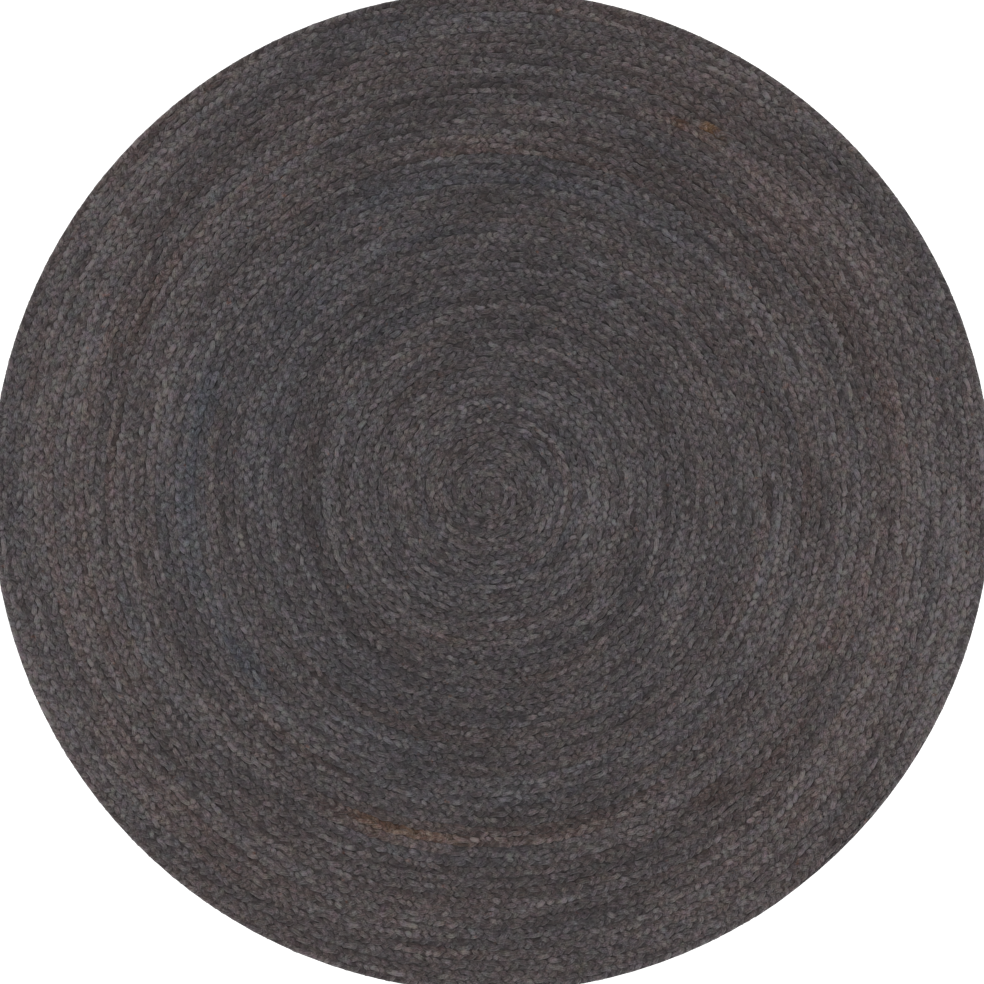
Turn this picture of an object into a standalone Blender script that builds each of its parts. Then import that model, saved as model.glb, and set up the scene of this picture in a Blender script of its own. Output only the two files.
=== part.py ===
"""Round jute rug: one flat braid coiled from the middle outwards and sewn turn to turn.

Metres, +Z up. The origin is the middle of the flat underside, which lies on the floor at z = 0.
"""
import math

import bmesh
import bpy

# Driving dimensions
RADIUS = 0.600
THICKNESS = 0.009
TURNS = 51
# A turn of the braid at the rim is this many times as wide as one in the middle.
TURN_GROWTH = 1.165
# The coil runs outwards clockwise, seen from above.
COIL_DIRECTION = -1
# The seam between two turns lies this far under the crown of a turn.
SEAM_DEPTH = 0.0027
# Where the braid ends, its last length narrows to nothing over this part of a turn.
TAIL_PART = 0.10
# Direction of the braid's end on the rim, in degrees.
TAIL_ANGLE = -60.0

SEAM_HEIGHT = THICKNESS - SEAM_DEPTH
# The crown sinks to the seams' height where the braid is narrower than half its mean width.
NARROW_WIDTH = RADIUS / TURNS / 2.0

# Rounded edge of the outermost turn: distance in from the rim, height as a part of the thickness.
# The first row is the upper shoulder, at the seams' height, and the last is the edge of the flat underside.
EDGE_PROFILE = (
    {"inset": 0.0010, "height": SEAM_HEIGHT / THICKNESS},
    {"inset": 0.0000, "height": 0.5},
    {"inset": 0.0012, "height": 0.2},
    {"inset": 0.0045, "height": 0.0},
)

# Corners in one turn of the coil, for the turns before a given one.
CORNERS = (
    {"before_turn": 6, "corners": 16},
    {"before_turn": 18, "corners": 24},
    {"before_turn": 36, "corners": 36},
    {"before_turn": TURNS - 1, "corners": 48},
    {"before_turn": TURNS + 1, "corners": 96},
)

# An edge bent by more than this is shaded as a crease.
CREASE_ANGLE = math.radians(60.0)

# Dyed charcoal jute
JUTE_COLOUR = (0.073, 0.063, 0.065, 1.0)
JUTE_ROUGHNESS = 0.9


def clear_scene():
    for item in list(bpy.data.objects):
        bpy.data.objects.remove(item, do_unlink=True)


def smooth_step(value):
    value = min(1.0, max(0.0, value))
    return value * value * (3.0 - 2.0 * value)


def seam_radius(turn):
    """Radius of the seam inside the given turn, which is a real number that grows along the coil.

    Towards the rim the turns become circles that step outwards beside the braid's end,
    so that the rug's outline is round.
    """
    if turn >= TURNS:
        return RADIUS - EDGE_PROFILE[0]["inset"]
    whole = math.floor(turn)
    part = turn - whole
    roundness = (turn / TURNS) ** 2
    step = smooth_step((part - 1.0 + TAIL_PART) / TAIL_PART)
    count = whole + part + (step - part) * roundness
    grown = (TURN_GROWTH ** (count / TURNS) - 1.0) / (TURN_GROWTH - 1.0)
    return (RADIUS - EDGE_PROFILE[0]["inset"]) * grown


def place(bm, turn, radius, height):
    angle = math.radians(TAIL_ANGLE) + COIL_DIRECTION * math.tau * turn
    return bm.verts.new((radius * math.cos(angle), radius * math.sin(angle), height))


def stations(last_turn):
    """The turn numbers, whole and part, at which the coil has a corner."""
    found = []
    for whole in range(last_turn):
        corners = next(row["corners"] for row in CORNERS if whole < row["before_turn"])
        found += [whole + index / corners for index in range(corners)]
    return found + [float(last_turn)]


def seam_line(bm):
    """The seam from the middle to the braid's end, and then once round the shoulder of the rim."""
    turns = stations(TURNS + 1)
    line = [(turn, place(bm, turn, seam_radius(turn), SEAM_HEIGHT)) for turn in turns[:-1]]
    tail_tip = next(vert for turn, vert in line if turn == TURNS)
    return line + [(turns[-1], tail_tip)]


def crown_line(bm, tail_tip):
    """The crown of the braid, halfway between its two seams, which sinks as the braid's end narrows."""
    line = []
    for turn in stations(TURNS)[:-1]:
        inner = seam_radius(turn)
        outer = seam_radius(turn + 1.0)
        height = SEAM_HEIGHT + SEAM_DEPTH * min(1.0, (outer - inner) / NARROW_WIDTH)
        line.append((turn, place(bm, turn, (inner + outer) / 2.0, height)))
    return line + [(float(TURNS), tail_tip)]


def join_lines(bm, inner, outer):
    """Fill between two lines of (turn, vertex), going on from whichever next corner comes first."""
    i = 0
    j = 0
    start = inner[0][0] - outer[0][0]
    while i < len(inner) - 1 or j < len(outer) - 1:
        inner_next = inner[i + 1][0] if i < len(inner) - 1 else math.inf
        outer_next = outer[j + 1][0] + start if j < len(outer) - 1 else math.inf
        corner_a = inner[i][1]
        corner_b = outer[j][1]
        if inner_next <= outer_next:
            i += 1
            corner_c = inner[i][1]
        else:
            j += 1
            corner_c = outer[j][1]
        if len({corner_a, corner_b, corner_c}) == 3:
            bm.faces.new((corner_a, corner_b, corner_c))


def fill_middle(bm, seams, crown_start):
    """The small flat in the middle that the first turn goes round, and the braid's cut start beside it."""
    first_turn = [vert for turn, vert in seams if turn <= 1.0]
    centre = first_turn[0]
    for a, b in zip(first_turn[1:], first_turn[2:]):
        bm.faces.new((centre, a, b))
    bm.faces.new((centre, first_turn[-1], crown_start))


def edge_and_underside(bm, shoulder):
    """The rounded edge below the shoulder, and the flat face that lies on the floor."""
    ring = [vert for turn, vert in shoulder]
    turns = [turn for turn, vert in shoulder]
    for row in EDGE_PROFILE[1:]:
        height = row["height"] * THICKNESS
        lower = [place(bm, turn, RADIUS - row["inset"], height) for turn in turns]
        for k in range(len(ring)):
            after = (k + 1) % len(ring)
            bm.faces.new((ring[k], ring[after], lower[after], lower[k]))
        ring = lower
    bm.faces.new(ring)


def mark_creases(bm, seams):
    """The turns are shaded as round, with a crease along each seam and round the underside."""
    for edge in bm.edges:
        edge.smooth = edge.calc_face_angle() < CREASE_ANGLE
    verts = [vert for turn, vert in seams]
    for a, b in zip(verts, verts[1:]):
        bm.edges.get((a, b)).smooth = False


def build_rug():
    bm = bmesh.new()
    seams = seam_line(bm)
    tail_tip = seams[-1][1]
    crowns = crown_line(bm, tail_tip)
    coil_seams = [(turn, vert) for turn, vert in seams if turn <= TURNS]
    outer_seams = [(turn, vert) for turn, vert in seams if turn >= 1.0]
    join_lines(bm, coil_seams, crowns)
    join_lines(bm, crowns, outer_seams)
    fill_middle(bm, seams, crowns[0][1])
    shoulder = [(turn, vert) for turn, vert in seams[:-1] if turn >= TURNS]
    edge_and_underside(bm, shoulder)
    bmesh.ops.recalc_face_normals(bm, faces=bm.faces)
    for face in bm.faces:
        face.smooth = True
    mark_creases(bm, seams)
    mesh = bpy.data.meshes.new("coiled_rug")
    bm.to_mesh(mesh)
    bm.free()
    return mesh


def jute_material():
    material = bpy.data.materials.new("charcoal_jute")
    material.use_nodes = True
    shader = material.node_tree.nodes["Principled BSDF"]
    shader.inputs["Base Color"].default_value = JUTE_COLOUR
    shader.inputs["Roughness"].default_value = JUTE_ROUGHNESS
    shader.inputs["Metallic"].default_value = 0.0
    return material


def main():
    clear_scene()
    mesh = build_rug()
    mesh.materials.append(jute_material())
    rug = bpy.data.objects.new("coiled_rug", mesh)
    bpy.context.scene.collection.objects.link(rug)


main()
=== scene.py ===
import math

import bpy
import numpy as np
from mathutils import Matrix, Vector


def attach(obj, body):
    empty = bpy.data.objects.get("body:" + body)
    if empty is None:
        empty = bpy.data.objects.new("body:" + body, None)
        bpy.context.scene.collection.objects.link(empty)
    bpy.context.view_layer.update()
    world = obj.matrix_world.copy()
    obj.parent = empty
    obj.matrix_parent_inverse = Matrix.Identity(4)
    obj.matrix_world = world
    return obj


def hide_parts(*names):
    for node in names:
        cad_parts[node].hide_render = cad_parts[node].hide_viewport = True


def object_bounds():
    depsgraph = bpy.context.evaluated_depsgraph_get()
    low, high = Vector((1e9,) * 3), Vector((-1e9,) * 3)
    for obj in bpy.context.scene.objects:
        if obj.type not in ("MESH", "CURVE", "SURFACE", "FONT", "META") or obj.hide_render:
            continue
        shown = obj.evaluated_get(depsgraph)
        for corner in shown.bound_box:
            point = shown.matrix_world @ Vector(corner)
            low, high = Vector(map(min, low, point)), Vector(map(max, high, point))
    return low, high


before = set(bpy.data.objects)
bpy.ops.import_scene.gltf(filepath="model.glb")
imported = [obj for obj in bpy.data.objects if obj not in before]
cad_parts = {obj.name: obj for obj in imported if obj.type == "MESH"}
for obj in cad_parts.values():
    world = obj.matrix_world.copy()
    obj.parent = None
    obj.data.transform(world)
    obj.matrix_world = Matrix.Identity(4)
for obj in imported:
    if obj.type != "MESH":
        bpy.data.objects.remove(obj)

cadLow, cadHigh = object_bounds()
rugRadius = (cadHigh.x - cadLow.x) / 2
rugThickness = cadHigh.z - cadLow.z
rugBody = "root"
rugNode = "coiled_rug"


def hexToLinear(code):  # an sRGB hex colour as Blender's linear one
    channels = [int(code[i:i + 2], 16) / 255 for i in (1, 3, 5)]
    return [c / 12.92 if c <= 0.04045 else ((c + 0.055) / 1.055) ** 2.4 for c in channels] + [1.0]


# An input is a value or the socket that feeds it: by name, with _ for a space, or by number, as in0 and in1
def addNode(tree, kind, settings=None, **inputs):
    node = tree.nodes.new(kind)
    for name, value in (settings or {}).items():
        setattr(node, name, value)
    for name, value in inputs.items():
        key = int(name[2:]) if name.startswith("in") and name[2:].isdigit() else name.replace("_", " ")
        socket = node.inputs[key]
        if isinstance(value, bpy.types.NodeSocket):
            tree.links.new(value, socket)
        else:
            socket.default_value = value
    return node


# The coil: where the braid's middle line runs, from the centre out to its end on the rim

coil = {
    "turns": 51,
    "turnGrowth": 1.165,      # a turn at the rim is this much wider than one in the middle
    "direction": -1,          # clockwise outwards, seen from above
    "tailPart": 0.10,         # the last part of a turn narrows to nothing
    "tailAngle": -60.0,       # degrees, where the braid ends on the rim
    "startTurn": -0.45,       # the braid's start is curled into the middle
    "startPart": 0.40,        # turns over which it fills out
    "startFullness": 0.75,    # how full it is at its very start
    "fullWidth": 0.8,         # part of the mean width below which the strands thin out
    "leastFullness": 0.12,    # how thin they are at the braid's end
    "strayWidth": 0.0009,     # how far the sewing lets the braid wander sideways
    "strayLength": 0.016,     # length in which it does
    "rimTurns": 1.4,          # the last turns, where the braid gets even and keeps to the edge
    "rimTuck": 0.0010,        # they are drawn in so that their strands end at the rim
    "samples": 720,           # for each turn, to measure along the curve
    "seed": 5,
}


def smoothStep(x):
    x = np.clip(x, 0.0, 1.0)
    return x * x * (3 - 2 * x)


def seamRadius(turn):  # radius of the seam inside a turn, which is a real number
    turn = np.asarray(turn, float)
    whole = np.floor(turn)
    part = turn - whole
    roundness = (turn / coil["turns"]) ** 2
    step = smoothStep((part - 1 + coil["tailPart"]) / coil["tailPart"])
    count = whole + part + (step - part) * roundness
    grown = (coil["turnGrowth"] ** (count / coil["turns"]) - 1) / (coil["turnGrowth"] - 1)
    return np.where(turn >= coil["turns"], rugRadius, rugRadius * grown)


def coilLine(spacing, stray=1.0):  # points along the braid's middle line, and what is known at each
    count = int((coil["turns"] - coil["startTurn"]) * coil["samples"])
    turn = np.linspace(coil["startTurn"], coil["turns"], count)
    inner = np.where(turn < 0, 0.0, seamRadius(np.maximum(turn, 0)))
    outer = seamRadius(turn + 1)
    firstWidth = seamRadius(1.0)
    curled = firstWidth * (turn - coil["startTurn"]) / -coil["startTurn"] / 2
    radius = np.where(turn < 0, curled, (inner + outer) / 2)
    width = np.where(turn < 0, firstWidth, outer - inner)
    angle = math.radians(coil["tailAngle"]) + coil["direction"] * math.tau * turn
    place = np.stack([radius * np.cos(angle), radius * np.sin(angle)], 1)
    along = np.concatenate([[0], np.cumsum(np.linalg.norm(np.diff(place, axis=0), axis=1))])
    wanted = np.arange(0, along[-1], spacing)
    heading = np.gradient(place, along, axis=0)
    across = np.stack([-heading[:, 1], heading[:, 0]], 1) * -coil["direction"]
    across /= np.linalg.norm(across, axis=1)[:, None]
    fullness = smoothStep((turn - coil["startTurn"]) / coil["startPart"])
    fullness = coil["startFullness"] + (1 - coil["startFullness"]) * fullness
    fullness *= np.clip(width / (coil["fullWidth"] * rugRadius / coil["turns"]), coil["leastFullness"], 1)
    knots = np.arange(0, along[-1] + coil["strayLength"], coil["strayLength"])
    pushed = stray * np.random.default_rng(coil["seed"]).normal(0, coil["strayWidth"], len(knots))
    pushed = np.interp(along, knots, np.clip(pushed, -2 * coil["strayWidth"], 2 * coil["strayWidth"]))
    pushed *= np.clip(turn, 0, 1) * np.clip(coil["turns"] - 0.5 - turn, 0, 1)
    atRim = smoothStep(2 * (turn - (coil["turns"] - coil["rimTurns"])))
    pushed -= stray * coil["rimTuck"] * atRim
    place = place + across * pushed[:, None]
    line = {"along": wanted}
    for name, values in (("x", place[:, 0]), ("y", place[:, 1]), ("acrossX", across[:, 0]),
                         ("acrossY", across[:, 1]), ("width", width), ("fullness", fullness),
                         ("turn", turn), ("radius", radius), ("loose", 1 - atRim)):
        line[name] = np.interp(wanted, along, values)
    return line


def guideObject(line, first, last, tone, warmth, height):  # a bare polyline that Geometry Nodes follow
    count = last - first
    pick = slice(first, last)
    mesh = bpy.data.meshes.new("guide")
    mesh.vertices.add(count)
    mesh.edges.add(count - 1)
    co = np.stack([line["x"][pick], line["y"][pick], np.full(count, height)], 1)
    mesh.vertices.foreach_set("co", co.astype(np.float32).ravel())
    ends = np.stack([np.arange(count - 1), np.arange(1, count)], 1)
    mesh.edges.foreach_set("vertices", ends.astype(np.int32).ravel())
    across = np.stack([line["acrossX"][pick], line["acrossY"][pick], np.zeros(count)], 1)
    stored = mesh.attributes.new("across", "FLOAT_VECTOR", "POINT")
    stored.data.foreach_set("vector", across.astype(np.float32).ravel())
    for key, values in (("along", line["along"]), ("width", line["width"]), ("fullness", line["fullness"]),
                        ("loose", line["loose"]), ("tone", tone), ("warmth", warmth)):
        stored = mesh.attributes.new(key, "FLOAT", "POINT")
        stored.data.foreach_set("value", values[pick].astype(np.float32))
    mesh.update()
    guide = bpy.data.objects.new("guide", mesh)
    bpy.context.scene.collection.objects.link(guide)
    return guide


def runTree(guide, tree, name, **values):  # the tree's result as a plain mesh object of its own
    modifier = guide.modifiers.new("made", "NODES")
    modifier.node_group = tree
    sockets = {item.name: item.identifier for item in tree.interface.items_tree
               if item.item_type == "SOCKET" and item.in_out == "INPUT"}
    for key, value in values.items():
        modifier[sockets[key.replace("_", " ")]] = value
    bpy.context.view_layer.update()
    depsgraph = bpy.context.evaluated_depsgraph_get()
    mesh = bpy.data.meshes.new_from_object(guide.evaluated_get(depsgraph), depsgraph=depsgraph)
    mesh.name = name
    guide.modifiers.remove(modifier)
    bpy.data.objects.remove(guide)
    piece = bpy.data.objects.new(name, mesh)
    bpy.context.scene.collection.objects.link(piece)
    return piece


bakeMap = {
    "margin": 0.002,          # left free at a row's two ends, in parts of the map's width
    "rowFill": 0.9,           # part of a row's height that the tube takes
    "endSize": 0.4,           # radius of an end face, in row heights
    "endPlace": 0.05,         # where the first end face lies in the last row
    "endStep": 0.1,           # from there to the second one
}


def layInRows(piece, sides, rows):  # a map for baking: the tube in rows, and its two ends in the last one
    mesh = piece.data
    corners = np.empty(len(mesh.loops), np.int32)
    starts = np.empty(len(mesh.polygons), np.int32)
    counts = np.empty(len(mesh.polygons), np.int32)
    mesh.loops.foreach_get("vertex_index", corners)
    mesh.polygons.foreach_get("loop_start", starts)
    mesh.polygons.foreach_get("loop_total", counts)
    face = np.repeat(np.arange(len(starts)), counts)
    ring, side = np.divmod(corners, sides)
    first = np.minimum.reduceat(ring, starts)[face]
    isEnd = first == np.maximum.reduceat(ring, starts)[face]
    spread = (np.maximum.reduceat(side, starts) - np.minimum.reduceat(side, starts))[face]
    side = np.where((spread > 1) & ~isEnd & (side == 0), sides, side)  # the tube's last side closes it
    perRow = math.ceil(ring.max() / (rows - 1))
    row = first // perRow
    turned = math.tau * side / sides
    u = bakeMap["margin"] + (1 - 2 * bakeMap["margin"]) * (ring - row * perRow) / perRow
    v = (row + 0.5 + bakeMap["rowFill"] * (0.5 - side / sides)) / rows
    endMiddle = bakeMap["endPlace"] + bakeMap["endStep"] * (ring > 0)
    endU = endMiddle + bakeMap["endSize"] / rows * np.cos(turned)
    endV = (rows - 0.5 + bakeMap["endSize"] * np.sin(turned)) / rows
    laid = mesh.uv_layers.new(name="OFBake")
    laidAt = np.stack([np.where(isEnd, endU, u), np.where(isEnd, endV, v)], 1)
    laid.uv.foreach_set("vector", laidAt.astype(np.float32).ravel())


# The dye: soft drifts that follow the coil, where yarn from one batch gives way to the next, with painted
# light on yarn that runs across the side panels' light

dye = {
    "seed": 11,
    "sideTone": 0.12,         # stops of painted light: yarn that runs up and down the frame, across the side panels' light, is painted lighter than the rest
    "sideFrom": 150.0,        # mm from the middle, inside which that fades
    "batchLength": 0.15,      # yarn changes its shade over this length
    "batchTone": 0.14,        # stops
    "batchWarmth": 0.10,
    "streaks": 36,            # broad streaks that run round the rug beside each other
    "streakLobes": 12,        # a streak has fewer waves than this in one turn
    "streakSpacing": (30, 160),  # mm from one streak to the next
    "streakTone": 0.030,      # stops
    "streakWarmth": 0.012,
    "softEdge": 12.0,         # degrees over which an arc fades in and out
    "swerve": 3.0,            # mm by which an arc leaves its circle
    "swerveWaves": (3, 7),    # in one turn
    "swerveShift": 40.0,      # mm outwards over which the first of them turns
    "arcTone": 1.3,           # strength of the tones below
    # Arcs that show in the photo: radius and half width in mm, from and to in degrees,
    # warmth (brown above zero, blue-grey below), tone in stops
    "arcs": (
        (366, 12, 152, 228, -0.5, -0.05), (362, 32, 148, 226, -0.22, 0), (384, 20, 42, 122, -0.38, -0.06),
        (350, 34, 96, 168, -0.26, -0.03), (300, 30, 120, 182, -0.18, -0.04),
        (330, 22, 225, 264, -0.22, -0.06), (233, 8, 96, 142, -0.25, -0.34), (233, 7, 58, 96, 0, -0.2),
        (372, 24, 240, 330, -0.12, 0), (215, 20, 166, 200, -0.16, -0.06), (343, 6, 158, 216, 0.05, 0.2),
        (300, 6, 150, 200, 0, 0.14), (508, 6, 57, 61.5, 1, 0.16), (498, 9, 60.5, 66, 0.3, -0.4),
        (500, 16, 50, 72, 0.2, -0.06), (478, 34, 18, 56, 0.2, 0.02), (494, 10, 0, 25, 0.3, 0.14),
        (447, 11, -34, -5, 0.3, 0.16), (470, 30, -30, 6, 0.11, 0.02), (415, 10, 238, 292, 0.34, 0.11),
        (421, 20, 236, 302, 0.12, 0), (540, 45, 282, 345, 0.13, 0.08), (520, 50, 205, 290, 0.07, 0),
        (498, 22, 150, 216, 0.1, 0), (444, 11, 112, 144, 0.16, 0.05), (475, 13, 130, 166, 0.15, 0.04),
        (412, 10, 60, 106, 0.12, -0.06), (258, 26, 28, 62, 0.08, -0.04), (306, 20, -40, -10, 0.08, 0),
        (240, 20, 272, 312, 0.06, 0.04), (452, 13, 300, 312, 0.22, -0.46), (403, 8, 313, 327, 0.06, -0.4),
        (335, 9, -6, 6, 0, -0.75), (230, 22, 212, 252, -0.05, -0.22), (331, 22, 240, 286, -0.1, -0.16),
        (470, 36, 258, 300, 0.03, -0.18), (455, 20, 48, 74, 0.04, -0.26), (500, 36, 92, 130, 0, -0.12),
        (262, 18, 58, 96, 0.02, -0.12), (278, 34, 90, 150, -0.05, -0.13), (545, 16, 74, 104, 0.03, -0.16),
        (224, 14, 26, 60, 0, -0.14), (566, 44, -36, 8, 0, 0.24), (540, 28, 24, 50, 0, 0.12),
        (546, 56, 150, 216, 0, 0.17), (124, 14, -32, 22, 0, 0.26), (96, 44, -40, 22, 0, 0.14),
        (432, 26, -30, -8, 0.03, 0.12), (150, 150, 0, 360, -0.12, -0.02), (238, 42, 0, 360, 0, -0.1),
        (410, 24, 258, 302, 0, -0.2), (450, 26, 40, 84, 0, -0.12), (560, 34, 112, 160, 0, 0.12),
        (20, 30, 0, 360, 0, -0.12), (262, 26, 130, 250, -0.12, -0.06), (410, 30, -20, 110, 0.08, 0),
        (565, 40, 200, 285, 0.07, 0.06), (120, 24, 0, 360, 0, 0.1), (520, 60, 310, 380, 0, 0.14),
        (410, 40, 322, 358, 0.03, 0.16), (556, 30, 190, 232, 0, 0.14), (500, 26, -8, 36, 0.14, 0.02),
        (530, 50, 20, 85, 0.07, 0), (556, 30, 140, 215, -0.08, 0), (215, 20, 10, 60, 0.1, 0),
        (262, 24, 112, 142, -0.14, 0), (215, 22, 140, 172, -0.12, 0), (440, 50, 275, 345, 0.06, 0),
        (440, 40, 60, 112, 0, -0.1),
    ),
}


def dyeAndSideLight(line):
    angle = np.degrees(np.arctan2(line["y"], line["x"]))
    radius = 1000 * line["radius"]
    slow, fast = (np.radians(waves * angle) for waves in dye["swerveWaves"])
    radius = radius + dye["swerve"] * (np.sin(slow + radius / dye["swerveShift"]) + np.sin(fast))
    rng = np.random.default_rng(dye["seed"])
    knots = np.arange(0, line["along"][-1] + dye["batchLength"], dye["batchLength"])
    tone = np.interp(line["along"], knots, rng.normal(0, dye["batchTone"], len(knots)))
    warmth = np.interp(line["along"], knots, rng.normal(0, dye["batchWarmth"], len(knots)))
    for streak in range(dye["streaks"]):
        turned = np.radians(rng.integers(0, dye["streakLobes"]) * angle)
        outwards = math.tau * radius / rng.uniform(*dye["streakSpacing"])
        wave = np.cos(turned + outwards + rng.uniform(0, math.tau))
        tone += dye["streakTone"] * wave
        warmth += dye["streakWarmth"] * rng.uniform(-1, 1) * wave
    # painted light: yarn that runs up and down the frame is painted lighter, less so near the middle
    tone += dye["sideTone"] * np.cos(np.radians(2 * angle)) * np.clip(radius / dye["sideFrom"], 0, 1)
    for middle, half, start, end, brown, light in dye["arcs"]:
        past = (angle - start) % 360
        span = end - start
        share = np.exp(-((radius - middle) / half) ** 2)
        if span < 360:
            soft = min(dye["softEdge"], span / 2)
            share = share * smoothStep(past / soft) * smoothStep((span - past) / soft)
        tone += dye["arcTone"] * light * share
        warmth += brown * share
    return tone, warmth


# The braid: three strands of jute yarn, each a piece of its own

braid = {
    "pitch": 0.0375,          # length in which a strand comes back to the same edge
    "ringsPerPitch": 12,
    "splitAt": 0.53,          # of the length, between a strand's two pieces
    "sides": 5,               # corners round a strand
    "strandWidth": 0.0059,
    "flatness": 0.76,         # a strand's thickness as a part of its width
    "sway": 0.340,            # how far a strand leaves the middle, as a part of the braid's width
    "nominalWidth": 0.012,    # braid width that the strand width is for
    "leastWidth": 0.25,       # part of the nominal width, where the braid's end narrows
    "diveLate": 8.0,          # degrees by which a strand stays on top beyond the middle of its crossing
    "bulge": 0.05,            # a strand swells where it lies on top
    "usualHeight": 0.85,      # part of its full height that a crossing mostly reaches
    "square": 0.6,            # how much longer the outermost turn's strands keep to its edge
    "uneven": {               # by hand: how much, and the length in metres over which it changes
        "Wander": (0.7, 0.030),    # crossings come early or late, in pitches
        "Slip": (0.32, 0.018),     # the same for one strand alone
        "Reach": (0.8, 0.014),     # of the sway
        "Swell": (0.8, 0.012),     # of the thickness
        "Sink": (1.6, 0.013),      # of the height
        "Row Tone": (3.2, 0.090),  # painted light between the braid's two edges, in stops
    },
    "seed": 7,
    "seedSteps": (17.31, 9.7),  # these keep the uneven values apart
    "strandStep": 331.7,      # metres of yarn between one strand and the next, so that no two are alike
    "bakeRows": 48,
}


def braidTree():
    tree = bpy.data.node_groups.new("braidStrand", "GeometryNodeTree")
    interface = tree.interface
    interface.new_socket("Geometry", in_out="INPUT", socket_type="NodeSocketGeometry")
    for name in ("Strand", "Sides", "Seed"):
        interface.new_socket(name, in_out="INPUT", socket_type="NodeSocketInt")
    for name in ("Pitch", "Strand Width", "Flatness", "Sway", "Thickness", "Bulge", "Nominal Width",
                 "Dive Late", "Square", *braid["uneven"]):
        interface.new_socket(name, in_out="INPUT", socket_type="NodeSocketFloat")
    interface.new_socket("Material", in_out="INPUT", socket_type="NodeSocketMaterial")
    interface.new_socket("Geometry", in_out="OUTPUT", socket_type="NodeSocketGeometry")
    given = addNode(tree, "NodeGroupInput").outputs
    maths = "ShaderNodeMath"
    vectors = "ShaderNodeVectorMath"
    attribute = "GeometryNodeInputNamedAttribute"
    store = "GeometryNodeStoreNamedAttribute"

    along = addNode(tree, attribute, {"data_type": "FLOAT"}, Name="along").outputs[0]
    width = addNode(tree, attribute, {"data_type": "FLOAT"}, Name="width").outputs[0]
    fullness = addNode(tree, attribute, {"data_type": "FLOAT"}, Name="fullness").outputs[0]
    loose = addNode(tree, attribute, {"data_type": "FLOAT"}, Name="loose").outputs[0]
    across = addNode(tree, attribute, {"data_type": "FLOAT_VECTOR"}, Name="across").outputs[0]

    # Yarn's own coordinate: metres along, with each strand far from the others
    yarnAlong = addNode(tree, maths, {"operation": "MULTIPLY_ADD"}, in0=given["Strand"],
                        in1=braid["strandStep"], in2=along).outputs[0]

    # What is uneven by hand: a smooth random value about zero for each
    uneven = {}
    seedStart, seedStep = braid["seedSteps"]
    for name, (share, length) in braid["uneven"].items():
        offset = addNode(tree, maths, {"operation": "MULTIPLY"}, in0=given["Seed"],
                         in1=seedStart + seedStep * len(uneven)).outputs[0]
        place = along if name in ("Wander", "Row Tone") else yarnAlong  # the braid, or one strand alone
        drawn = addNode(tree, maths, {"operation": "MULTIPLY_ADD"}, in0=place, in1=1 / length,
                        in2=offset).outputs[0]
        value = addNode(tree, "ShaderNodeTexNoise", {"noise_dimensions": "1D"}, W=drawn, Scale=1.0,
                        Detail=1.0).outputs[0]
        value = addNode(tree, maths, {"operation": "SUBTRACT"}, in0=value, in1=0.5).outputs[0]
        uneven[name] = addNode(tree, maths, {"operation": "MULTIPLY"}, in0=value,
                               in1=given[name]).outputs[0]

    # Where along its weave the strand is, in turns of the pitch
    turns = addNode(tree, maths, {"operation": "DIVIDE"}, in0=along, in1=given["Pitch"]).outputs[0]
    turns = addNode(tree, maths, {"operation": "MULTIPLY_ADD"}, in0=given["Strand"], in1=1 / 3,
                    in2=turns).outputs[0]
    turns = addNode(tree, maths, {"operation": "ADD"}, in0=turns, in1=uneven["Wander"]).outputs[0]
    turns = addNode(tree, maths, {"operation": "ADD"}, in0=turns, in1=uneven["Slip"]).outputs[0]
    phase = addNode(tree, maths, {"operation": "MULTIPLY"}, in0=turns, in1=math.tau).outputs[0]
    side = addNode(tree, maths, {"operation": "SINE"}, in0=phase).outputs[0]
    late = addNode(tree, maths, {"operation": "MULTIPLY"}, in0=given["Dive Late"],
                   in1=-math.pi / 180).outputs[0]
    doubled = addNode(tree, maths, {"operation": "MULTIPLY_ADD"}, in0=phase, in1=2.0, in2=late).outputs[0]
    over = addNode(tree, maths, {"operation": "SINE"}, in0=doubled).outputs[0]

    # Sideways between the braid's edges, and closer to the edge for longer at the rim, where it isn't loose
    squared = addNode(tree, maths, {"operation": "MULTIPLY"}, in0=side, in1=side).outputs[0]
    rest = addNode(tree, maths, {"operation": "SUBTRACT"}, in0=1.0, in1=squared).outputs[0]
    tight = addNode(tree, maths, {"operation": "SUBTRACT"}, in0=1.0, in1=loose).outputs[0]
    tight = addNode(tree, maths, {"operation": "MULTIPLY"}, in0=tight, in1=given["Square"]).outputs[0]
    fuller = addNode(tree, maths, {"operation": "MULTIPLY_ADD"}, in0=rest, in1=tight, in2=1.0).outputs[0]
    side = addNode(tree, maths, {"operation": "MULTIPLY"}, in0=side, in1=fuller).outputs[0]
    swing = addNode(tree, maths, {"operation": "MULTIPLY_ADD"}, in0=uneven["Reach"], in1=loose,
                    in2=1.0).outputs[0]
    for factor in (width, given["Sway"], fullness, side):
        swing = addNode(tree, maths, {"operation": "MULTIPLY"}, in0=swing, in1=factor).outputs[0]
    sideways = addNode(tree, vectors, {"operation": "SCALE"}, Vector=across, Scale=swing).outputs[0]

    # Thickness: with the braid's width, uneven along the yarn, fuller on top
    size = addNode(tree, maths, {"operation": "MULTIPLY"}, in0=uneven["Swell"], in1=loose).outputs[0]
    size = addNode(tree, maths, {"operation": "MULTIPLY_ADD"}, in0=over, in1=given["Bulge"],
                   in2=size).outputs[0]
    size = addNode(tree, maths, {"operation": "ADD"}, in0=size, in1=1.0).outputs[0]
    broad = addNode(tree, maths, {"operation": "DIVIDE"}, in0=width, in1=given["Nominal Width"]).outputs[0]
    broad = addNode(tree, maths, {"operation": "MAXIMUM"}, in0=broad, in1=braid["leastWidth"]).outputs[0]
    for factor in (broad, fullness):
        size = addNode(tree, maths, {"operation": "MULTIPLY"}, in0=size, in1=factor).outputs[0]

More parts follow.
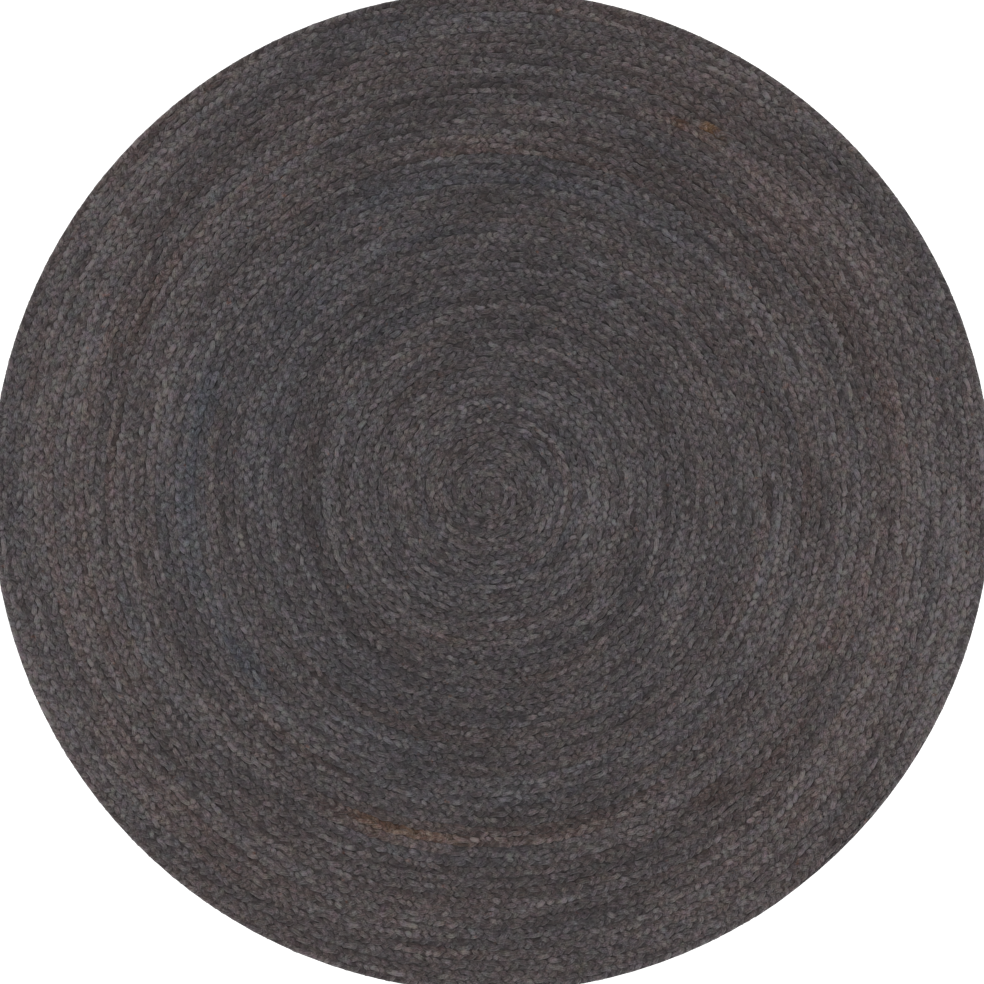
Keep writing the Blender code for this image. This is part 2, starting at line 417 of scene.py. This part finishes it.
    # Up and down at twice the pace, so far that the fullest crossings just meet the rug's two faces
    half = addNode(tree, maths, {"operation": "MULTIPLY"}, in0=given["Strand Width"], in1=0.5).outputs[0]
    high = addNode(tree, maths, {"operation": "MULTIPLY"}, in0=half, in1=given["Flatness"]).outputs[0]
    high = addNode(tree, maths, {"operation": "MULTIPLY"}, in0=high, in1=size).outputs[0]
    middle = addNode(tree, maths, {"operation": "MULTIPLY"}, in0=given["Thickness"], in1=0.5).outputs[0]
    lift = addNode(tree, maths, {"operation": "SUBTRACT"}, in0=middle, in1=high).outputs[0]
    sunk = addNode(tree, maths, {"operation": "ADD"}, in0=uneven["Sink"],
                   in1=braid["usualHeight"]).outputs[0]
    sunk = addNode(tree, maths, {"operation": "MINIMUM"}, in0=sunk, in1=1.0).outputs[0]
    for factor in (sunk, over):
        lift = addNode(tree, maths, {"operation": "MULTIPLY"}, in0=lift, in1=factor).outputs[0]
    upward = addNode(tree, "ShaderNodeCombineXYZ", Z=lift).outputs[0]
    offset = addNode(tree, vectors, {"operation": "ADD"}, in0=sideways, in1=upward).outputs[0]

    # Painted light: one edge of the braid is painted lighter than the other for a while, as if it lay
    # turned towards the light
    tone = addNode(tree, attribute, {"data_type": "FLOAT"}, Name="tone").outputs[0]
    tone = addNode(tree, maths, {"operation": "MULTIPLY_ADD"}, in0=uneven["Row Tone"], in1=side,
                   in2=tone).outputs[0]

    # The strand's line, and the flattened ring that is drawn along it
    line = addNode(tree, "GeometryNodeMeshToCurve", Mesh=given["Geometry"]).outputs[0]
    for name, value in (("yarnAlong", yarnAlong), ("onTop", over), ("tone", tone)):
        line = addNode(tree, store, {"data_type": "FLOAT", "domain": "POINT"}, Geometry=line, Name=name,
                       Value=value).outputs[0]
    line = addNode(tree, "GeometryNodeSetPosition", Geometry=line, Offset=offset).outputs[0]
    line = addNode(tree, "GeometryNodeSetCurveNormal", {"mode": "Z_UP"}, Curve=line).outputs[0]

    ring = addNode(tree, "GeometryNodeCurvePrimitiveCircle", Resolution=given["Sides"],
                   Radius=half).outputs[0]
    ring = addNode(tree, "GeometryNodeTransform", Geometry=ring, Rotation=(0, 0, -math.pi / 2)).outputs[0]
    where = addNode(tree, "GeometryNodeInputPosition").outputs[0]
    around = addNode(tree, vectors, {"operation": "NORMALIZE"}, Vector=where).outputs[0]
    ring = addNode(tree, store, {"data_type": "FLOAT_VECTOR", "domain": "POINT"}, Geometry=ring,
                   Name="around", Value=around).outputs[0]
    flat = addNode(tree, "ShaderNodeCombineXYZ", X=1.0, Y=given["Flatness"], Z=1.0).outputs[0]
    ring = addNode(tree, "GeometryNodeTransform", Geometry=ring, Scale=flat).outputs[0]

    tube = addNode(tree, "GeometryNodeCurveToMesh", Curve=line, Profile_Curve=ring, Scale=size,
                   Fill_Caps=True).outputs[0]
    tube = addNode(tree, "GeometryNodeSetShadeSmooth", Geometry=tube).outputs[0]
    tube = addNode(tree, "GeometryNodeRealizeInstances", Geometry=tube).outputs[0]
    tube = addNode(tree, "GeometryNodeSetMaterial", Geometry=tube, Material=given["Material"]).outputs[0]
    addNode(tree, "NodeGroupOutput", Geometry=tube)
    return tree


# Dyed jute: a soft, matt bast fibre, loosely spun. Several thin yarns lie side by side in each strand of
# the braid, so the eye sees lines along the strand, a slant of fibres across each yarn, and an uneven
# charcoal dye.

jute = {
    "charcoal": "#494243",
    "faded": "#574038",       # brown, where the dye took less
    "ochre": "#5e4530",       # where it hardly took at all
    "cold": "#40424a",        # blue-grey, where it took more
    "rust": "#583f37",        # flecks of bark left in the fibre
    "yarns": 6,               # round a strand
    "strandRadius": 0.0028,
    "layPitch": 0.110,        # length in which the yarns go once round the strand
    "twistPitch": 0.014,      # length in which the fibres go once round
    "fibreWidth": 0.0009,     # a bundle of real fibres, as one alone is too fine to show
    "fibreLength": 0.0070,
    "patchLength": 0.012,     # tone changes from one crossing to the next
    "speckSize": 0.0022,      # short hairs and the gaps between them
    "hueSize": 0.012,         # tint of neighbouring crossings
    "blotchSize": 0.040,      # dye that took unevenly across neighbouring turns
    "fleckSize": 0.010,       # room between flecks of bark
    # Shares of brightness, in stops
    "fibreShare": 1.7,
    "patchShare": 2.4,
    "blotchShare": 0.8,
    "speckShare": 4.4,
    "grooveShadeShare": 1.0,         # painted shade, darker in the grooves between the yarns
    "paleShare": 1.6,         # single pale fibres
    "paleCrossings": 0.2,     # crossings where the dye took least
    "crownRubAndLight": 0.6,        # lighter on top of a crossing, partly where it is rubbed and partly painted light, and darker below, painted shade
    "crownStart": -0.3,       # height at which that begins, from -1, lowest, to 1, on top
    "palest": 1.25,           # nothing gets lighter than this, in stops
    "palestSoft": 0.8,        # and nears it over this many
    "greyerShare": 0.30,      # a fibre one stop lighter has this much less colour
    "tintShare": 0.30,        # of the blotches in the tint
    "hueShare": 0.55,         # how far the small patches of hue change each channel
    # The part of a noise, from and to, that shows as what is named
    "paleFrom": (0.60, 0.76),
    "paleCrossingFrom": (0.58, 0.78),
    "fleckFrom": (0.69, 0.80),
    "ochreFrom": (0.40, 0.95),  # of the tint
    # Surface: dry and matt, with fibres that catch a little light
    "roughness": (0.95, 0.70),  # between the fibres, and on them
    "specular": 0.35,
    "sheen": 0.22,            # fine hairs
    "sheenRoughness": 0.5,
    "reliefDepth": 0.0004,
    "reliefStrength": 0.8,
    "fibreRelief": 0.6,       # beside the yarns' relief
}


def juteMaterial():
    material = bpy.data.materials.new("dyedJute")
    material.use_nodes = True
    tree = material.node_tree
    shader = tree.nodes["Principled BSDF"]
    maths = "ShaderNodeMath"
    vectors = "ShaderNodeVectorMath"
    mapRange = "ShaderNodeMapRange"
    noise = "ShaderNodeTexNoise"
    stored = {name: addNode(tree, "ShaderNodeAttribute", {"attribute_name": name})
              for name in ("yarnAlong", "around", "tone", "warmth", "onTop")}
    along = stored["yarnAlong"].outputs["Fac"]
    place = addNode(tree, "ShaderNodeTexCoord").outputs["Object"]

    # Each layer turned round the strand once in its own length
    turned = {}
    for name in ("twistPitch", "layPitch"):
        angle = addNode(tree, maths, {"operation": "MULTIPLY"}, in0=along,
                        in1=math.tau / jute[name]).outputs[0]
        turned[name] = addNode(tree, "ShaderNodeVectorRotate", {"rotation_type": "Z_AXIS"},
                               Vector=stored["around"].outputs["Vector"], Angle=angle).outputs[0]

    # Fibres: noise drawn out along the twist
    helix = addNode(tree, vectors, {"operation": "SCALE"}, Vector=turned["twistPitch"],
                    Scale=jute["strandRadius"] / jute["fibreWidth"]).outputs[0]
    drawn = addNode(tree, maths, {"operation": "MULTIPLY"}, in0=along,
                    in1=1 / jute["fibreLength"]).outputs[0]
    drawn = addNode(tree, "ShaderNodeCombineXYZ", Z=drawn).outputs[0]
    fibrePlace = addNode(tree, vectors, {"operation": "ADD"}, in0=helix, in1=drawn).outputs[0]
    fibres = addNode(tree, noise, Vector=fibrePlace, Scale=1.0, Detail=3.0, Roughness=0.6).outputs[0]
    low, high = jute["paleFrom"]
    pale = addNode(tree, mapRange, Value=fibres, From_Min=low, From_Max=high).outputs[0]

    # Yarns: grooves that run along the strand, in the relief and as painted shade in the colour
    laid = addNode(tree, "ShaderNodeSeparateXYZ", Vector=turned["layPitch"]).outputs
    angle = addNode(tree, maths, {"operation": "ARCTAN2"}, in0=laid[1], in1=laid[0]).outputs[0]
    angle = addNode(tree, maths, {"operation": "MULTIPLY"}, in0=angle, in1=jute["yarns"] / 2).outputs[0]
    yarns = addNode(tree, maths, {"operation": "COSINE"}, in0=angle).outputs[0]
    yarns = addNode(tree, maths, {"operation": "ABSOLUTE"}, in0=yarns).outputs[0]
    yarns = addNode(tree, maths, {"operation": "POWER"}, in0=yarns, in1=0.5).outputs[0]

    # Crossings, their tops, and marks that don't follow the yarn
    patches = addNode(tree, noise, {"noise_dimensions": "1D"}, W=along, Scale=1 / jute["patchLength"],
                      Detail=2.0, Roughness=0.6).outputs[0]
    low, high = jute["paleCrossingFrom"]
    paler = addNode(tree, mapRange, Value=patches, From_Min=low, From_Max=high).outputs[0]
    onTop = stored["onTop"].outputs["Fac"]
    # Painted light and wear: a crossing's top is lighter, partly rubbed and partly painted light, and lower
    # down it is darker, painted shade
    crown = addNode(tree, mapRange, {"interpolation_type": "SMOOTHSTEP"}, Value=onTop,
                    From_Min=jute["crownStart"], From_Max=1.0).outputs[0]
    blotches = addNode(tree, noise, Vector=place, Scale=1 / jute["blotchSize"], Detail=3.0, Roughness=0.6)
    specks = addNode(tree, noise, Vector=place, Scale=1 / jute["speckSize"], Detail=2.0,
                     Roughness=0.7).outputs[0]

    # Brightness in stops: each layer about its own mean level; the yarn grooves' layer is painted shade,
    # and the crowns' layer is partly rub, partly painted light and shade
    stops = stored["tone"].outputs["Fac"]
    for layer, name, level in ((fibres, "fibreShare", 0.5), (patches, "patchShare", 0.5),
                               (blotches.outputs[0], "blotchShare", 0.5), (specks, "speckShare", 0.5),
                               (yarns, "grooveShadeShare", 0.75), (pale, "paleShare", 0.05),
                               (paler, "paleCrossings", 0.05), (crown, "crownRubAndLight", 0.7)):
        layer = addNode(tree, maths, {"operation": "SUBTRACT"}, in0=layer, in1=level).outputs[0]
        stops = addNode(tree, maths, {"operation": "MULTIPLY_ADD"}, in0=layer, in1=jute[name],
                        in2=stops).outputs[0]
    stops = addNode(tree, maths, {"operation": "SMOOTH_MIN"}, in0=stops, in1=jute["palest"],
                    in2=jute["palestSoft"]).outputs[0]
    bright = addNode(tree, maths, {"operation": "POWER"}, in0=2.0, in1=stops).outputs[0]

    # Tint: brown where it is above zero, blue-grey below it
    tints = addNode(tree, "ShaderNodeSeparateColor", Color=blotches.outputs[1]).outputs
    tint = addNode(tree, maths, {"operation": "SUBTRACT"}, in0=tints[1], in1=0.5).outputs[0]
    tint = addNode(tree, maths, {"operation": "MULTIPLY_ADD"}, in0=tint, in1=jute["tintShare"],
                   in2=stored["warmth"].outputs["Fac"]).outputs[0]
    brown = addNode(tree, maths, {"operation": "MULTIPLY", "use_clamp": True}, in0=tint, in1=1.0).outputs[0]
    blue = addNode(tree, maths, {"operation": "MULTIPLY", "use_clamp": True}, in0=tint, in1=-1.0).outputs[0]
    low, high = jute["ochreFrom"]
    bare = addNode(tree, mapRange, Value=tint, From_Min=low, From_Max=high).outputs[0]
    flecks = addNode(tree, noise, Vector=place, Scale=1 / jute["fleckSize"], Detail=2.0).outputs[0]
    low, high = jute["fleckFrom"]
    flecks = addNode(tree, mapRange, Value=flecks, From_Min=low, From_Max=high).outputs[0]
    colour = hexToLinear(jute["charcoal"])
    for share, name in ((brown, "faded"), (blue, "cold"), (bare, "ochre"), (flecks, "rust")):
        colour = addNode(tree, "ShaderNodeMix", {"data_type": "RGBA"}, in0=share, in6=colour,
                         in7=hexToLinear(jute[name])).outputs[2]
    greyer = addNode(tree, maths, {"operation": "MULTIPLY_ADD"}, in0=stops, in1=-jute["greyerShare"],
                     in2=1.0).outputs[0]
    colour = addNode(tree, "ShaderNodeHueSaturation", Color=colour, Saturation=greyer).outputs[0]
    colour = addNode(tree, vectors, {"operation": "SCALE"}, Vector=colour, Scale=bright).outputs[0]
    hues = addNode(tree, noise, Vector=place, Scale=1 / jute["hueSize"], Detail=3.0,
                   Roughness=0.7).outputs[1]
    hue = addNode(tree, vectors, {"operation": "MULTIPLY_ADD"}, in0=hues, in1=(jute["hueShare"],) * 3,
                  in2=(1 - jute["hueShare"] / 2,) * 3).outputs[0]
    colour = addNode(tree, vectors, {"operation": "MULTIPLY"}, in0=colour, in1=hue).outputs[0]
    tree.links.new(colour, shader.inputs["Base Color"])

    low, high = jute["roughness"]
    rough = addNode(tree, mapRange, Value=fibres, To_Min=low, To_Max=high).outputs[0]
    tree.links.new(rough, shader.inputs["Roughness"])
    relief = addNode(tree, maths, {"operation": "MULTIPLY_ADD"}, in0=fibres, in1=jute["fibreRelief"],
                     in2=yarns).outputs[0]
    bump = addNode(tree, "ShaderNodeBump", Strength=jute["reliefStrength"], Distance=jute["reliefDepth"],
                   Height=relief).outputs[0]
    tree.links.new(bump, shader.inputs["Normal"])
    shader.inputs["Specular IOR Level"].default_value = jute["specular"]
    shader.inputs["Sheen Weight"].default_value = jute["sheen"]
    shader.inputs["Sheen Roughness"].default_value = jute["sheenRoughness"]
    return material


def makeBraid(material):
    spacing = braid["pitch"] / braid["ringsPerPitch"]
    line = coilLine(spacing)
    tone, warmth = dyeAndSideLight(line)
    count = len(line["along"])
    middle = int(braid["splitAt"] * count)
    tree = braidTree()
    uneven = {name: share for name, (share, length) in braid["uneven"].items()}
    pieces = []
    for part, (first, last) in (("inner", (0, middle + 1)), ("outer", (middle, count))):
        for strand, letter in enumerate("abc"):
            guide = guideObject(line, first, last, tone, warmth, rugThickness / 2)
            piece = runTree(guide, tree, f"strand_{letter}_{part}", Strand=strand, Pitch=braid["pitch"],
                            Strand_Width=braid["strandWidth"], Flatness=braid["flatness"],
                            Sway=braid["sway"], Thickness=rugThickness, Bulge=braid["bulge"],
                            Nominal_Width=braid["nominalWidth"], Dive_Late=braid["diveLate"],
                            Square=braid["square"], Sides=braid["sides"], Seed=braid["seed"],
                            Material=material, **uneven)
            layInRows(piece, braid["sides"], braid["bakeRows"])
            pieces.append(piece)
    print("braid:", count, "rings,", sum(len(p.data.loop_triangles) for p in pieces), "triangles")
    return pieces


dyedJute = juteMaterial()
strands = makeBraid(dyedJute)


# The inside of the braid, a flat strip along the whole coil, and the rug's one sheet of cloth

inside = {
    "startTurn": 0.05,        # the knot fills the middle inside it
    "spacing": 0.001,         # of the points from which the strip's rings are chosen
    "straightness": 0.0002,   # how far a straight piece may leave the coil's curve
    "tightest": 0.006,        # radius below which the pieces get no shorter
    "overlap": 0.0001,        # neighbouring turns of the strip share this much
    "leastHalf": 0.0008,      # half of the strip's width where the braid's end narrows
    "nominalHalf": 0.006,     # half width that the rise is for
    "rise": 0.0008,           # half of the strip's thickness
    "height": 0.0046,         # of its middle above the floor
    "darker": 0.35,           # in stops of painted shade, as the strip lies down between the strands
    "bakeRows": 24,
}


def stripTree():
    tree = bpy.data.node_groups.new("braidInside", "GeometryNodeTree")
    interface = tree.interface
    interface.new_socket("Geometry", in_out="INPUT", socket_type="NodeSocketGeometry")
    for name, kind in (("Overlap", "Float"), ("Rise", "Float"), ("Material", "Material")):
        interface.new_socket(name, in_out="INPUT", socket_type="NodeSocket" + kind)
    interface.new_socket("Geometry", in_out="OUTPUT", socket_type="NodeSocketGeometry")
    given = addNode(tree, "NodeGroupInput").outputs
    maths = "ShaderNodeMath"
    attribute = "GeometryNodeInputNamedAttribute"
    store = "GeometryNodeStoreNamedAttribute"
    width = addNode(tree, attribute, {"data_type": "FLOAT"}, Name="width").outputs[0]
    wide = addNode(tree, maths, {"operation": "ADD"}, in0=width, in1=given["Overlap"]).outputs[0]
    wide = addNode(tree, maths, {"operation": "MULTIPLY"}, in0=wide, in1=0.5).outputs[0]
    wide = addNode(tree, maths, {"operation": "MAXIMUM"}, in0=wide, in1=inside["leastHalf"]).outputs[0]
    along = addNode(tree, attribute, {"data_type": "FLOAT"}, Name="along").outputs[0]
    line = addNode(tree, "GeometryNodeMeshToCurve", Mesh=given["Geometry"]).outputs[0]
    line = addNode(tree, store, {"data_type": "FLOAT", "domain": "POINT"}, Geometry=line,
                   Name="yarnAlong", Value=along).outputs[0]
    line = addNode(tree, "GeometryNodeSetCurveNormal", {"mode": "Z_UP"}, Curve=line).outputs[0]
    ring = addNode(tree, "GeometryNodeCurvePrimitiveCircle", Resolution=4,
                   Radius=math.sqrt(2)).outputs[0]  # a square, two wide and two high
    ring = addNode(tree, "GeometryNodeTransform", Geometry=ring, Rotation=(0, 0, math.pi / 4)).outputs[0]
    where = addNode(tree, "GeometryNodeInputPosition").outputs[0]
    ring = addNode(tree, store, {"data_type": "FLOAT_VECTOR", "domain": "POINT"}, Geometry=ring,
                   Name="around", Value=where).outputs[0]
    ratio = addNode(tree, maths, {"operation": "DIVIDE"}, in0=given["Rise"],
                    in1=inside["nominalHalf"]).outputs[0]
    flat = addNode(tree, "ShaderNodeCombineXYZ", X=1.0, Y=ratio, Z=1.0).outputs[0]
    ring = addNode(tree, "GeometryNodeTransform", Geometry=ring, Scale=flat).outputs[0]
    strip = addNode(tree, "GeometryNodeCurveToMesh", Curve=line, Profile_Curve=ring, Scale=wide,
                    Fill_Caps=True).outputs[0]
    strip = addNode(tree, "GeometryNodeRealizeInstances", Geometry=strip).outputs[0]
    strip = addNode(tree, "GeometryNodeSetMaterial", Geometry=strip, Material=given["Material"]).outputs[0]
    addNode(tree, "NodeGroupOutput", Geometry=strip)
    return tree


def makeInside(material):
    line = coilLine(inside["spacing"], stray=0.0)
    step = np.sqrt(8 * np.maximum(line["radius"], inside["tightest"]) * inside["straightness"])
    passed = np.floor(np.cumsum(inside["spacing"] / step)).astype(int)
    keep = np.flatnonzero(np.diff(passed, prepend=-1) > 0)
    keep = keep[line["turn"][keep] >= inside["startTurn"]]
    line = {name: values[keep] for name, values in line.items()}
    tone, warmth = dyeAndSideLight(line)
    # painted shade: the strip down between the strands is made darker than the strands
    guide = guideObject(line, 0, len(keep), tone - inside["darker"], warmth, inside["height"])
    piece = runTree(guide, stripTree(), "braid_inside", Overlap=inside["overlap"], Rise=inside["rise"],
                    Material=material)
    layInRows(piece, 4, inside["bakeRows"])
    print("inside:", len(keep), "rings,", len(piece.data.polygons), "faces")
    return piece


insideStrip = makeInside(dyedJute)


# The knot: the braid's start, turned under in the middle

knot = {
    "radius": 0.0130,
    "rise": 0.0022,           # half of its thickness
    "sides": 24,
    "rows": 7,
    "lumps": 5,               # round its edge
    "lumpSize": 0.06,         # as a part of the radius
}


def makeKnot(material):  # a flat knob that closes the middle
    sides, rows, rise = knot["sides"], knot["rows"], knot["rise"]
    points = [(0, 0, rise)]
    for row in range(1, rows):
        tilt = math.pi * row / rows
        for side in range(sides):
            turn = math.tau * side / sides
            lump = 1 + knot["lumpSize"] * math.sin(knot["lumps"] * turn) * math.sin(tilt)
            reach = knot["radius"] * math.sin(tilt) * lump
            points.append((reach * math.cos(turn), reach * math.sin(turn), rise * math.cos(tilt)))
    points.append((0, 0, -rise))
    last = len(points) - 1
    faces = []
    for side in range(sides):
        after = (side + 1) % sides
        faces.append((0, 1 + side, 1 + after))
        for row in range(rows - 2):
            start = 1 + row * sides
            faces.append((start + side, start + sides + side, start + sides + after, start + after))
        start = 1 + (rows - 2) * sides
        faces.append((last, start + after, start + side))
    mesh = bpy.data.meshes.new("start_knot")
    mesh.from_pydata([(x, y, z + rugThickness / 2) for x, y, z in points], [], faces)
    mesh.shade_smooth()
    mesh.materials.append(material)
    piece = bpy.data.objects.new("start_knot", mesh)
    bpy.context.scene.collection.objects.link(piece)
    print("knot:", len(faces), "faces")
    return piece


startKnot = makeKnot(dyedJute)


# The floor, the light and the camera

studio = {
    "floorSize": 40.0,        # so wide that its edge stays out of all but the lowest views
    "floorColour": "#fafafa",
    "floorRoughness": 0.95,
    "floorGlow": 0.5,         # makes the floor as white as the photo's background
    "worldStrength": 0.56,
    "panelSize": 1.5,
    "panels": ((0, 27), (90, 18), (180, 27), (270, 18)),  # direction in degrees, watts
    "panelAway": 3.2,
    "panelLean": 55.0,        # degrees from straight above
    "lens": 85.0,             # mm, as is the sensor
    "sensor": 36.0,
    "frameHalf": 0.5901,      # half of the photo's frame, at the rug's middle height
    "aimX": 0.0002,           # the photo's middle lies a hair off the rug's
    "aimY": -0.0006,
}


def makeFloor():
    half = studio["floorSize"] / 2
    corners = [(-half, -half, 0), (half, -half, 0), (half, half, 0), (-half, half, 0)]
    mesh = bpy.data.meshes.new("floor")
    mesh.from_pydata(corners, [], [(0, 1, 2, 3)])
    floor = bpy.data.objects.new("floor", mesh)
    bpy.context.scene.collection.objects.link(floor)
    material = bpy.data.materials.new("paperFloor")  # white studio paper: matt, and without any grain
    material.use_nodes = True
    shader = material.node_tree.nodes["Principled BSDF"]
    shader.inputs["Base Color"].default_value = hexToLinear(studio["floorColour"])
    shader.inputs["Roughness"].default_value = studio["floorRoughness"]
    shader.inputs["Emission Color"].default_value = (1, 1, 1, 1)
    shader.inputs["Emission Strength"].default_value = studio["floorGlow"]
    mesh.materials.append(material)


def makeWorld():
    world = bpy.data.worlds.new("studio")
    bpy.context.scene.world = world
    world.use_nodes = True
    sky = world.node_tree.nodes["Background"]
    sky.inputs["Color"].default_value = (1, 1, 1, 1)
    sky.inputs["Strength"].default_value = studio["worldStrength"]
    bpy.context.scene.view_settings.view_transform = "Standard"


def makeLights():  # soft panels all round, stronger on the photo's left and right
    for direction, power in studio["panels"]:
        data = bpy.data.lights.new(f"panel{direction}", "AREA")
        data.shape = "DISK"
        data.size = studio["panelSize"]
        data.energy = power
        lamp = bpy.data.objects.new(f"panel{direction}", data)
        lean = math.radians(studio["panelLean"])
        turned = math.radians(direction)
        out = studio["panelAway"] * math.sin(lean)
        up = studio["panelAway"] * math.cos(lean)
        lamp.location = (out * math.cos(turned), out * math.sin(turned), up)
        lamp.rotation_euler = (0, lean, turned)
        lamp.visible_camera = False
        bpy.context.scene.collection.objects.link(lamp)


def makeCamera():
    data = bpy.data.cameras.new("camera")
    data.lens = studio["lens"]
    data.sensor_width = studio["sensor"]
    camera = bpy.data.objects.new("camera", data)
    rise = studio["frameHalf"] * studio["lens"] / (studio["sensor"] / 2)
    camera.location = (studio["aimX"], studio["aimY"], rugThickness / 2 + rise)
    bpy.context.scene.collection.objects.link(camera)
    bpy.context.scene.camera = camera


makeFloor()
makeWorld()
makeLights()
makeCamera()
print("studio: floor,", len(studio["panels"]), "panels and camera")

for piece in [insideStrip, startKnot] + strands:
    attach(piece, rugBody)
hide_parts(rugNode)
